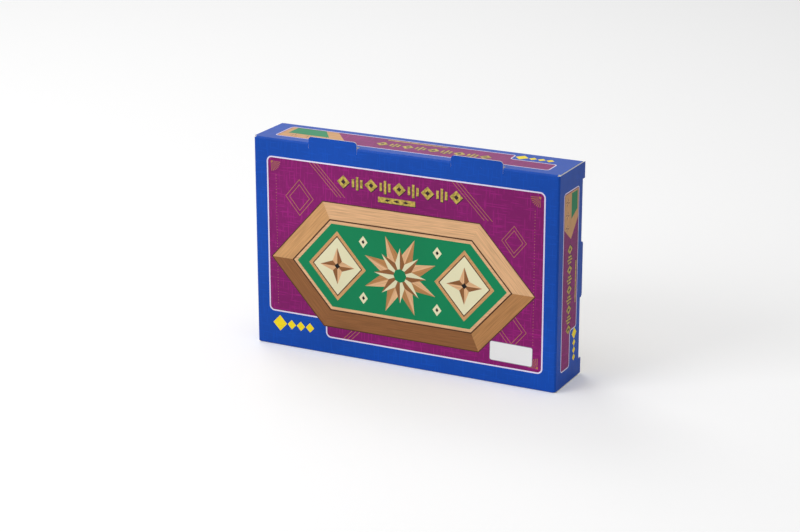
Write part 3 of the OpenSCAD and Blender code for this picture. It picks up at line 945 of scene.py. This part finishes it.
# Die: on each side a plane of places across the side, half a side from the middle, is drawn in along the
# line to the middle until it is in the ball too, with the two blended; the pips are sunk as parts of a ball
die = {
    "side": 16.0, "ball": 22.6, "blend": 0.1, "pipStep": 3.7, "pipBall": 1.7, "pipDeep": 0.7, "pitch": 0.5,
    "pipPoints": 28, "pipRings": (0.8, 0.55, 0.25), "pipClear": 0.25,     # mesh of a pip, and space round it
    "pips": (
        ((0, 0),), ((-1, -1), (1, 1)), ((-1, -1), (0, 0), (1, 1)), ((-1, -1), (-1, 1), (1, -1), (1, 1)),
        ((-1, -1), (-1, 1), (0, 0), (1, -1), (1, 1)), ((-1, -1), (-1, 0), (-1, 1), (1, -1), (1, 0), (1, 1)),
    ),
    "sides": ((0, 0, 0), (90, 0, 0), (0, 90, 0), (0, -90, 0), (-90, 0, 0), (180, 0, 0)),   # turns, in degrees
    "turns": {"die_1": (0, 0, 0), "die_2": (0, 90, 90)},                                       # as they lie
}


def rotation(degrees):
    x, y, z = [math.radians(v) for v in degrees]
    return Matrix.Rotation(z, 3, "Z") @ Matrix.Rotation(y, 3, "Y") @ Matrix.Rotation(x, 3, "X")


def buildDie(node):
    d = die
    half, ball, blend = d["side"] / 2, d["ball"] / 2, d["blend"]
    opening = math.sqrt(d["pipBall"] ** 2 - (d["pipBall"] - d["pipDeep"]) ** 2)
    edge = np.linspace(-half, half, round(d["side"] / d["pitch"]) + 1)
    outline = ([(a, -half) for a in edge[:-1]] + [(half, b) for b in edge[:-1]]
               + [(a, half) for a in edge[:0:-1]] + [(-half, b) for b in edge[:0:-1]])
    loose = np.stack(np.meshgrid(edge[1:-1], edge[1:-1]), -1).reshape(-1, 2)
    angles = np.arange(d["pipPoints"]) * 2 * math.pi / d["pipPoints"]
    ring = np.stack([np.cos(angles), np.sin(angles)], -1)
    lying = Matrix(((-1, 0, 0), (0, 0, 1), (0, 1, 0))) @ rotation(d["turns"][node])
    low, high = boxOf(node)
    points, faces, painted = [], [], []
    for pips, side in zip(d["pips"], d["sides"]):
        places = np.array(pips, float) * d["pipStep"]
        free = loose[(np.linalg.norm(loose[:, None] - places, axis=2) > opening + d["pipClear"]).all(1)]
        bowls = [place + ring * opening * share for place in places for share in d["pipRings"]]
        extra = np.concatenate([free, *bowls])
        circles = [place + ring * opening for place in places]
        flat, found, top = inlay(outline, circles, extra)
        toward = np.column_stack([flat, np.full(len(flat), half)])
        reach = np.linalg.norm(toward, axis=1)
        inBall = -blend * np.log(np.exp(-(ball - half) / blend) + np.exp(-(reach - half) / blend)) + half
        shape = toward * (inBall / reach)[:, None]
        apart = np.linalg.norm(flat[:, None] - places, axis=2).min(1)
        inPip = apart < opening
        sunk = np.sqrt(d["pipBall"] ** 2 - np.minimum(apart, opening) ** 2) - (d["pipBall"] - d["pipDeep"])
        shape[:, 2] -= np.where(inPip, sunk, 0)
        spin = np.array(lying @ rotation(side))
        faces += [[i + sum(map(len, points)) for i in face] for face in found]
        painted += [int(k > 0) for k in top]
        points.append(shape @ spin.T + (low + high) / 2)
    mesh = newMesh(node + "Cast", np.concatenate(points), faces, [diePlastic, pipPaint])
    mesh.polygons.foreach_set("material_index", np.array(painted, np.int32))
    solid = bmesh.new()
    solid.from_mesh(mesh)
    bmesh.ops.remove_doubles(solid, verts=solid.verts, dist=1e-6)
    solid.to_mesh(mesh)
    solid.free()
    mesh.set_sharp_from_angle(angle=math.radians(35))
    piece = addToScene(node + "Cast", mesh, node)
    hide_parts(node)


# Tumbled cast plastic in ivory: glossy, a little cloudy, and light that enters softens its shadows
def makeDiePlastic():
    material, tree, shader = newMaterial("tumbledIvoryPlastic")
    place = addNode(tree, "TexCoord").outputs["Object"]
    cloud = addNode(tree, "TexNoise", {"Vector": place, "Scale": 160.0, "Detail": 3.0})
    colour = addNode(tree, "Mix", {0: cloud, 6: linearColour("#F5EED2"), 7: linearColour("#ECE2BE")},
                     data_type="RGBA").outputs[2]
    rub = addNode(tree, "TexNoise", {"Vector": place, "Scale": 900.0})
    gloss = addNode(tree, "MapRange", {0: rub, 1: 0.35, 2: 0.7, 3: 0.2, 4: 0.34})
    setInputs(tree, shader, {"Base Color": colour, "Roughness": gloss, "Subsurface Weight": 0.25,
                             "Subsurface Scale": 0.002, "IOR": 1.49})
    return material


# Black paint that was run into the pips: glossy, and uneven where it has pooled
def makePipPaint():
    material, tree, shader = newMaterial("blackPipPaint")
    place = addNode(tree, "TexCoord").outputs["Object"]
    pool = addNode(tree, "TexNoise", {"Vector": place, "Scale": 700.0})
    tone = addNode(tree, "MapRange", {0: pool, 3: 0.7, 4: 1.5})
    colour = addNode(tree, "VectorMath", {0: linearColour("#171615")[:3], "Scale": tone}, operation="SCALE")
    bump = addNode(tree, "Bump", {"Height": pool, "Strength": 0.3, "Distance": 0.0001})
    setInputs(tree, shader, {"Base Color": colour, "Roughness": 0.3, "Normal": bump})
    return material


diePlastic = makeDiePlastic()
pipPaint = makePipPaint()
for node in die["turns"]:
    buildDie(node)
print("dice cast")

# Felt: height over a grid, full in the middle, falling off round a soft cut edge, less a shallow unevenness
# made of sine waves in many directions
felt = {
    "pitch": 1.0, "edge": (0.0, 0.12, 0.4, 0.9), "edgeHeight": (0.55, 0.8, 0.95, 1.0), "uneven": 0.09,
    "waves": 24, "waveRate": 2.2, "contrast": 1.6,
}


def buildFelt(node, seed):
    low, high = boxOf(node)
    axes, shares = [], []
    for axis in (0, 2):
        inner = np.arange(low[axis] + 1.5, high[axis] - 1.5, felt["pitch"])
        ends = np.array(felt["edge"])
        axes.append(np.r_[low[axis], low[axis] + ends, inner, high[axis] - ends[::-1], high[axis]])
        shares.append(np.r_[0.0, felt["edgeHeight"], np.ones(len(inner)), felt["edgeHeight"][::-1], 0.0])
    z, x = np.meshgrid(axes[1], axes[0], indexing="ij")
    full = np.minimum(*np.meshgrid(shares[1], shares[0], indexing="ij"))
    rng = np.random.default_rng(seed)
    waves = rng.uniform(-felt["waveRate"], felt["waveRate"], (felt["waves"], 2))
    phases = rng.uniform(0, 2 * math.pi, felt["waves"])
    bumps = np.sin(x[..., None] * waves[:, 0] + z[..., None] * waves[:, 1] + phases).mean(-1)
    depth = felt["uneven"] * np.clip(0.5 + felt["contrast"] * bumps, 0, 1)
    y = low[1] + (high[1] - low[1]) * full - np.where(full == 1, depth, 0)
    points = np.stack([x, y, z], -1)
    mesh = newMesh(node + "Cloth", points, gridFaces(*x.shape, flip=True).tolist(), [feltCloth])
    piece = addToScene(node + "Cloth", mesh, "game")
    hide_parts(node)


# Pressed wool felt, dyed green: no gloss, a pale bloom of loose fibres at a low angle, and a fine mottle
def makeFeltCloth():
    material, tree, shader = newMaterial("pressedGreenFelt")
    place = addNode(tree, "TexCoord").outputs["Object"]
    inMm = addNode(tree, "VectorMath", {0: place, "Scale": 1 / mm}, operation="SCALE")
    fibre = addNode(tree, "TexNoise", {"Vector": inMm, "Scale": 2.2, "Detail": 4.0, "Roughness": 0.7})
    patch = addNode(tree, "TexNoise", {"Vector": inMm, "Scale": 0.16, "Detail": 3.0})
    both = addNode(tree, "Math", {0: fibre, 1: patch}, operation="ADD")
    tone = addNode(tree, "MapRange", {0: both, 1: 0.7, 2: 1.3, 3: 0.78, 4: 1.22})
    colour = addNode(tree, "VectorMath", {0: linearColour("#0C8656")[:3], "Scale": tone}, operation="SCALE")
    bump = addNode(tree, "Bump", {"Height": fibre, "Strength": 0.6, "Distance": 0.0003})
    setInputs(tree, shader, {"Base Color": colour, "Roughness": 0.95, "Specular IOR Level": 0.1,
                             "Sheen Weight": 0.25, "Sheen Roughness": 0.5,
                             "Sheen Tint": linearColour("#7FD8AE"), "Normal": bump})
    return material


feltCloth = makeFeltCloth()
buildFelt("felt_well", 3)
buildFelt("felt_row", 4)
print("felt laid")


# Sanded birch plywood: pale, with fine straight grain and little gloss
def makePlywood():
    material, tree, shader = newMaterial("sandedBirchPlywood")
    place = addNode(tree, "TexCoord").outputs["Object"]
    along = addNode(tree, "Mapping", {0: place, "Scale": (30.0, 900.0, 900.0)})
    grain = addNode(tree, "TexNoise", {"Vector": along, "Scale": 1.0, "Detail": 3.0})
    colour = addNode(tree, "Mix", {0: grain, 6: linearColour("#DFC6A0"), 7: linearColour("#B99768")},
                     data_type="RGBA").outputs[2]
    bump = addNode(tree, "Bump", {"Height": grain, "Strength": 0.2, "Distance": 0.0001})
    setInputs(tree, shader, {"Base Color": colour, "Roughness": 0.65, "Normal": bump})
    return material


# Drawn steel: grey metal with fine lines along the rod, smoother along some of them, where its colour is also
# painted lighter as a painted reflection
def makeDrawnSteel():
    material, tree, shader = newMaterial("drawnSteelRod")
    place = addNode(tree, "TexCoord").outputs["Object"]
    along = addNode(tree, "Mapping", {0: place, "Scale": (40.0, 5000.0, 5000.0)})
    lines = addNode(tree, "TexNoise", {"Vector": along, "Scale": 1.0})
    # lighter colour where the lines are smoother: painted reflection
    colour = addNode(tree, "Mix", {0: lines, 6: linearColour("#B9BBBD"), 7: linearColour("#A2A4A7")},
                     data_type="RGBA").outputs[2]
    rough = addNode(tree, "MapRange", {0: lines, 3: 0.22, 4: 0.4})
    setInputs(tree, shader, {"Base Color": colour, "Roughness": rough, "Metallic": 1.0})
    return material


# The board, the rod and the rules sheet keep their solids; the tray's cut edges are softened
trayEdgeRound = 0.12   # mm
kept = (("floor_board", makePlywood(), "plywood"), ("tile_rod", makeDrawnSteel(), "steel"),
        ("rules_sheet", paper, "paper"))
for node, material, name in kept:
    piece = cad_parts[node]
    piece.data.materials.clear()
    piece.data.materials.append(material)
tray = softened("base_tray", trayEdgeRound)
finishSolid(tray, "foldedTrayCard", "base_tray", [trayCard], "base_tray")
print("tray, board, rod and sheet finished")
